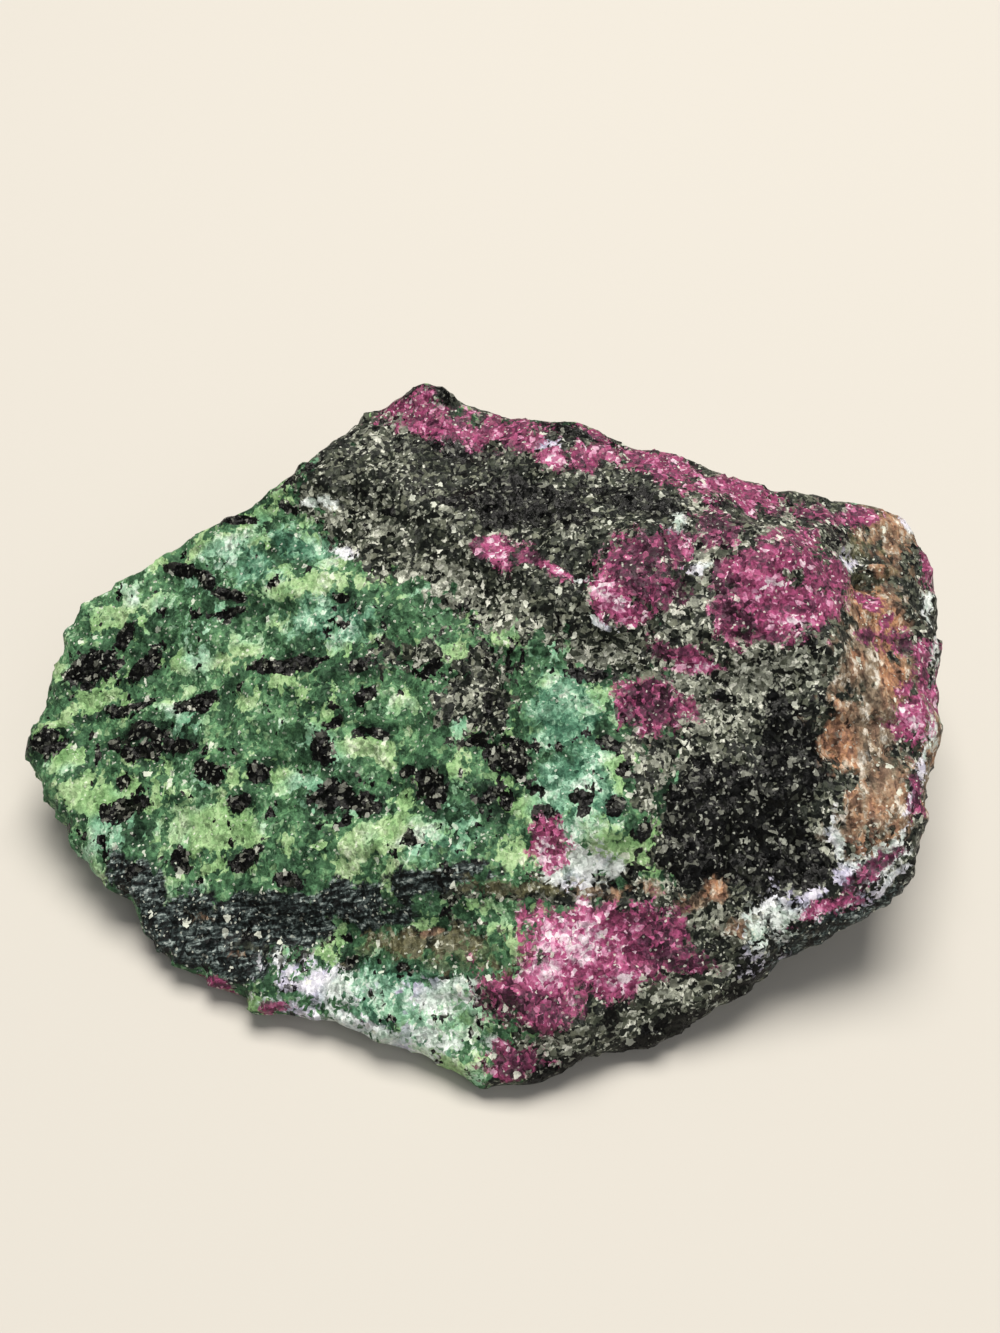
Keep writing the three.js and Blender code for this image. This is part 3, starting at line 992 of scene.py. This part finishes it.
class StonePaint(Paint):
    """The rock: the grain that its minerals share, and a method that lays each mineral on."""

    def __init__(self, name):
        super().__init__(name)
        self.set_places()
        self.set_grain()
        self.set_edges()
        self.set_shared_tones()
        tint = self.zoisite()
        for mineral in (
            self.dark_rock,
            self.slate_and_shade,
            self.amphibole,
            self.stain,
            self.olive_film,
            self.feldspar,
            self.ruby,
            self.grains_and_painted_glints,
        ):
            tint = mineral(tint)
        self.set(self.shader.inputs["Base Color"], tint)
        self.set_finish()
        self.set_broken_faces()

    def set_places(self):
        """Places in millimetres: plain, drawn out, squeezed across the layers, and ragged."""
        self.place = self.scaled(self.node("TexCoord").outputs["Object"], 1 / MM)
        thickness = self.vector("DOT_PRODUCT", self.place, tuple(ACROSS_LAYERS))
        squeeze = {i: self.times(thickness, (FIBRE_SQUEEZE - 1) * ACROSS_LAYERS[i]) for i in range(3)}
        self.layered = self.vector("ADD", self.place, self.node("CombineXYZ", squeeze).outputs[0])
        self.long_grained = self.vector("MULTIPLY", self.place, GRAIN_STRETCH)
        _, wobble = self.noise(self.place, WOBBLE, 2)
        self.ragged = self.vector("ADD", self.long_grained, self.centred(wobble, WOBBLE))

    def set_grain(self):
        """Grains and noises of several sizes."""
        self.coarse, self.coarse_tilt = self.grains(self.ragged, COARSE_GRAIN)
        self.fine, self.fine_tilt = self.grains(self.ragged, FINE_GRAIN)
        self.tiny, self.tiny_tilt = self.grains(self.ragged, TINY_GRAIN)
        self.dots, _ = self.grains(self.place, DOT)
        turned = self.turned(self.ragged, self.times(self.coarse[0], 2 * math.pi))
        long_crystals = self.vector("MULTIPLY", turned, CRYSTAL_STRETCH)
        self.crystals, self.crystal_tilt = self.grains(long_crystals, CRYSTAL)
        self.broad, _ = self.noise(self.long_grained, BROAD_NOISE, 3)
        self.middling, _ = self.noise(self.long_grained, MIDDLING_NOISE, 3, 0.6)
        self.other, _ = self.noise(self.elsewhere(self.long_grained, 40), OTHER_NOISE, 3, 0.6)
        self.small, _ = self.noise(self.place, SMALL_NOISE, 3, 0.6)
        drawn_out = self.vector("MULTIPLY", self.place, STREAK_STRETCH)
        self.streaks, _ = self.noise(drawn_out, STREAK_NOISE, 3, 0.6)
        self.fibres, _ = self.noise(self.layered, FIBRE_NOISE, 4, 0.65)

    def set_edges(self):
        """Two ways in which the edge of a patch wanders, in millimetres."""
        self.edge = self.add(
            self.times(self.middling, 6.0),
            self.times(self.about_zero(self.coarse[0]), 1.3),
            self.times(self.about_zero(self.fine[0]), 0.9),
            self.times(self.small, 0.8),
        )
        self.other_edge = self.add(
            self.times(self.other, 6.0),
            self.times(self.about_zero(self.coarse[1]), 1.3),
            self.times(self.about_zero(self.fine[1]), 0.9),
            self.times(self.small, -0.8),
        )

    def set_shared_tones(self):
        """What more than one mineral uses: a tone, light flakes, and unseen and salty places."""
        self.tone = self.add(
            0.5,
            self.times(self.about_zero(self.coarse[0]), 0.25),
            self.times(self.about_zero(self.fine[1]), 0.2),
            self.times(self.broad, 0.8),
            self.times(self.middling, 1.1),
            self.times(self.small, 0.45),
            self.times(self.about_zero(self.crystals[1]), 0.2),
        )
        self.unseen = self.attribute("unseen")
        self.salty = self.step(self.attribute("salty"), -2.0, 2.0)
        self.flake = self.ramp(self.add(self.crystals[1], self.times(self.small, 0.8)), FLAKE_TONES)

    def zoisite(self):
        """Deep green, with sugary light patches and a dust of light crystals."""
        near_black = self.step(self.attribute("black"), -2.5, 0.5)
        tone = self.add(self.tone, self.times(near_black, -0.22))
        spots, _ = self.noise(self.elsewhere(self.long_grained, 70), 3.6, 3, 0.6)
        spots = self.add(self.times(spots, 17), self.times(self.unseen, 0.5), -1.5)
        light = self.mask(self.larger(self.attribute("light"), spots), self.other_edge, 0.8, 0.2)
        dust = self.step(self.add(self.crystals[0], self.times(self.middling, 0.5)), 0.88, 0.93)
        light = self.larger(light, self.times(dust, 0.45))
        minty, _ = self.noise(self.elsewhere(self.place, 25), 9, 2)
        sugar = self.mix(
            self.step(minty, -0.05, 0.12),
            self.ramp(tone, SUGARY_TONES),
            self.ramp(tone, MINT_TONES),
        )
        tint = self.mix(light, self.ramp(tone, DEEP_GREEN_TONES), sugar)
        teal = self.ramp(self.add(tone, self.times(light, 0.3)), TEAL_TONES)
        return self.mix(self.times(self.patch("teal", self.edge, 1.5, 1.5), 0.7), tint, teal)

    def dark_rock(self, tint):
        """Black and olive-grey grains, salted with light flakes, and along the ridge a line of them that
        is partly painted shadow.
        """
        self.dark = self.patch("dark", self.edge, 1.6, 0.25)
        self.pepper = self.add(
            self.times(self.crystals[2], self.blend(self.salty, 0.75, 0.6)),
            self.times(self.coarse[2], self.blend(self.salty, 0.2, 0.3)),
            self.times(self.other, 1.2),
            self.times(self.small, 0.6),
            self.times(self.broad, 0.8),
        )
        salt = self.step(self.add(self.pepper, 0.19, self.times(self.salty, 0.38)), 0.93, 1.03)
        ground = self.ramp(self.crystals[0], GROUND_TONES)
        return self.mix(self.dark, tint, self.mix(salt, ground, self.flake))

    def slate_and_shade(self, tint):
        """The slate-coloured fibrous band: its dark partly painted shade where its faces turn down from
        the light, and its lightest fibres partly painted reflection.
        """
        tone = self.add(
            0.45,
            self.times(self.fibres, 1.9),
            self.times(self.small, 0.6),
            self.times(self.about_zero(self.tiny[2]), 0.35),
        )
        return self.mix(self.patch("slate_and_shade", self.other_edge, 0.7, 0.4), tint, self.ramp(tone, SLATE_SHADE_AND_REFLECTION_TONES))

    def amphibole(self, tint):
        """Black grains and streaks, with strays; the lightest of the black grains are partly painted
        highlight.
        """
        stray, _ = self.noise(self.elsewhere(self.long_grained, 15), 3.4, 3, 0.65)
        stray = self.add(self.times(stray, 16), self.times(self.unseen, 1.0), -2.1)
        self.black = self.mask(self.larger(self.attribute("black"), stray), self.edge, 0.7)
        coal_and_highlight = self.ramp(self.crystals[1], COAL_AND_HIGHLIGHT_TONES)
        coal_and_highlight = self.mix(self.step(self.pepper, 0.98, 1.06), coal_and_highlight, self.flake)
        return self.mix(self.black, tint, coal_and_highlight)

    def stain(self, tint):
        """Iron stain, in streaks of rust and of grey-brown, over what it covers."""
        self.stained = self.patch("stain", self.other_edge, 1.6, 1.0)
        tone = self.add(
            0.5,
            self.times(self.streaks, 1.7),
            self.times(self.middling, 0.9),
            self.times(self.about_zero(self.fine[2]), 0.4),
            self.times(self.small, 0.5),
        )
        greyness = self.add(
            self.streaks,
            self.times(self.broad, 1.5),
            self.times(self.salty, 0.14),
            self.times(self.step(self.attribute("rusty"), -2.0, 1.0), -0.4),
            0.06,
        )
        rust = self.mix(
            self.step(greyness, -0.28, 0.28),
            self.ramp(tone, RUST_TONES),
            self.ramp(tone, GREY_RUST_TONES),
        )
        thin = self.add(0.68, self.times(self.other, 2.0), self.times(self.black, -0.3))
        return self.mix(self.times(self.stained, self.step(thin, 0.1, 0.6)), tint, rust)

    def olive_film(self, tint):
        """A thin olive film over what it covers."""
        share = self.times(self.patch("olive", self.edge, 1.4, 0.8), 0.5)
        return self.mix(share, tint, self.ramp(self.tone, FILM_TONES))

    def feldspar(self, tint):
        """White feldspar, minty in places and lilac in others, and along the right rim partly painted
        highlight.
        """
        tone = self.add(self.tone, self.times(self.fibres, 0.4), 0.08)
        lilac, _ = self.noise(self.elsewhere(self.place, 55), 12, 2)
        white = self.mix(
            self.step(lilac, -0.06, 0.06),
            self.ramp(tone, MINT_WHITE_TONES),
            self.ramp(tone, LILAC_WHITE_TONES),
        )
        flaky = self.add(
            self.times(self.other_edge, 1.1),
            self.times(self.about_zero(self.crystals[0]), 2.4),
        )
        return self.mix(self.times(self.patch("pale", flaky, 1.0, 0.7), 0.9), tint, white)

    def ruby(self, tint):
        """Ruby, bright in places and plum in others."""
        wander = self.add(self.other_edge, self.times(self.about_zero(self.tiny[0]), 1.1))
        share = self.patch("ruby", wander, 1.0, 0.5)
        tone = self.add(
            0.38,
            self.times(self.about_zero(self.coarse[1]), 0.12),
            self.times(self.about_zero(self.crystals[0]), 0.34),
            self.times(self.small, 0.5),
            self.times(self.middling, 0.7),
            self.times(self.step(self.attribute("bright"), -1.5, 4.0), 0.6),
            self.times(self.step(self.attribute("plum"), -1.5, 1.5), -0.22),
            self.times(self.step(self.crystals[2], 0.8, 0.86), 0.3),
        )
        thickness = self.add(0.95, self.times(self.small, 0.5))
        return self.mix(self.times(share, thickness), tint, self.ramp(tone, RUBY_TONES))

    def grains_and_painted_glints(self, tint):
        """Each tiny grain is a little lighter or darker, and a few carry painted glints: near-white colour
        that stands in for light caught by cleavage faces.
        """
        tint = self.mix(0.8, tint, self.ramp(self.tiny[1], SHADE_TONES), "MULTIPLY")
        # Painted glints: a few dots and fine grains are painted near white, as light caught by cleavage
        # faces, and fewer on the black grains.
        painted_glint = self.larger(
            self.times(self.step(self.dots[0], 0.965, 0.97), self.dots[1]),
            self.step(self.fine[0], 0.991, 0.994),
        )
        return self.mix(self.times(painted_glint, self.blend(self.black, 0.7, 0.4)), tint, colour(PAINTED_GLINT_COLOUR))

    def set_finish(self):
        """Dark minerals are the smoothest, and stained ones the dullest."""
        darkness = self.larger(self.black, self.times(self.dark, 0.7))
        uneven = self.fine[0]
        dull = self.add(0.5, self.times(uneven, 0.2))
        bright = self.add(0.2, self.times(uneven, 0.25))
        rough = self.blend(darkness, dull, bright)
        rough = self.blend(self.times(self.stained, 0.8), rough, 0.7)
        self.set(self.shader.inputs["Roughness"], rough)
        self.shader.inputs["Specular IOR Level"].default_value = MIRRORING

    def set_broken_faces(self):
        """Each grain shows its own broken face."""
        facing = self.node("NewGeometry").outputs["Normal"]
        for tilt, amount in (
            (self.coarse_tilt, COARSE_TILT),
            (self.fine_tilt, FINE_TILT),
            (self.crystal_tilt, CRYSTAL_TILT),
            (self.tiny_tilt, TINY_TILT),
        ):
            facing = self.vector("ADD", facing, self.centred(tilt, amount))
        inputs = {
            "Strength": BUMP_STRENGTH,
            "Distance": BUMP_DEPTH * MM,
            "Height": self.add(self.small, self.middling),
            "Normal": self.vector("NORMALIZE", facing),
        }
        self.set(self.shader.inputs["Normal"], self.node("Bump", inputs).outputs["Normal"])


def lay_floor():
    """A plain pale floor."""
    mesh = bpy.data.meshes.new("floor")
    corners = [(-FLOOR, -FLOOR, 0), (FLOOR, -FLOOR, 0), (FLOOR, FLOOR, 0), (-FLOOR, FLOOR, 0)]
    mesh.from_pydata(corners, [], [(0, 1, 2, 3)])
    floor = linked("floor", mesh)
    paint = Paint("pale_floor")
    paint.shader.inputs["Base Color"].default_value = colour(FLOOR_COLOUR)
    paint.shader.inputs["Roughness"].default_value = FLOOR_ROUGHNESS
    floor.data.materials.append(paint.material)


def hang_lamp(name, place, size, power, tint=(1, 1, 1)):
    """A square lamp that faces the stone. Its place and size are in metres."""
    light = bpy.data.lights.new(name, "AREA")
    light.size = size
    light.energy = power
    light.color = tint
    made = linked(name, light)
    made.location = place
    made.rotation_euler = (-Vector(place)).to_track_quat("-Z", "Y").to_euler()


def light_room():
    """A large warm lamp overhead and a little behind, a weak one in front, and a pale room."""
    hang_lamp("window", place=(0.1, 0.55, 1.7), size=1.2, power=48, tint=(1.0, 0.96, 0.9))
    hang_lamp("front_fill", place=(0.5, -1.0, 1.0), size=0.8, power=4.5)
    world = bpy.data.worlds.new("room")
    bpy.context.scene.world = world
    world.use_nodes = True
    background = world.node_tree.nodes["Background"]
    background.inputs["Color"].default_value = (0.97, 0.98, 1.0, 1)
    background.inputs["Strength"].default_value = 0.19
    bpy.context.scene.view_settings.view_transform = "Standard"


def place_camera():
    data = bpy.data.cameras.new("camera")
    data.sensor_width = SENSOR
    data.lens = FOCAL_PIXELS * SENSOR / LONG_SIDE_PIXELS
    data.clip_start = 0.01
    camera = linked("camera", data)
    camera.location = CAMERA_PLACE * MM
    camera.rotation_euler = (math.pi / 2 - CAMERA_PITCH, 0, 0)
    bpy.context.scene.camera = camera


stone = stone_object(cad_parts["ruby_in_zoisite"])
stone.data.materials.append(StonePaint("ruby_in_zoisite").material)
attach(stone, "root")
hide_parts("ruby_in_zoisite")
lay_floor()
light_room()
place_camera()
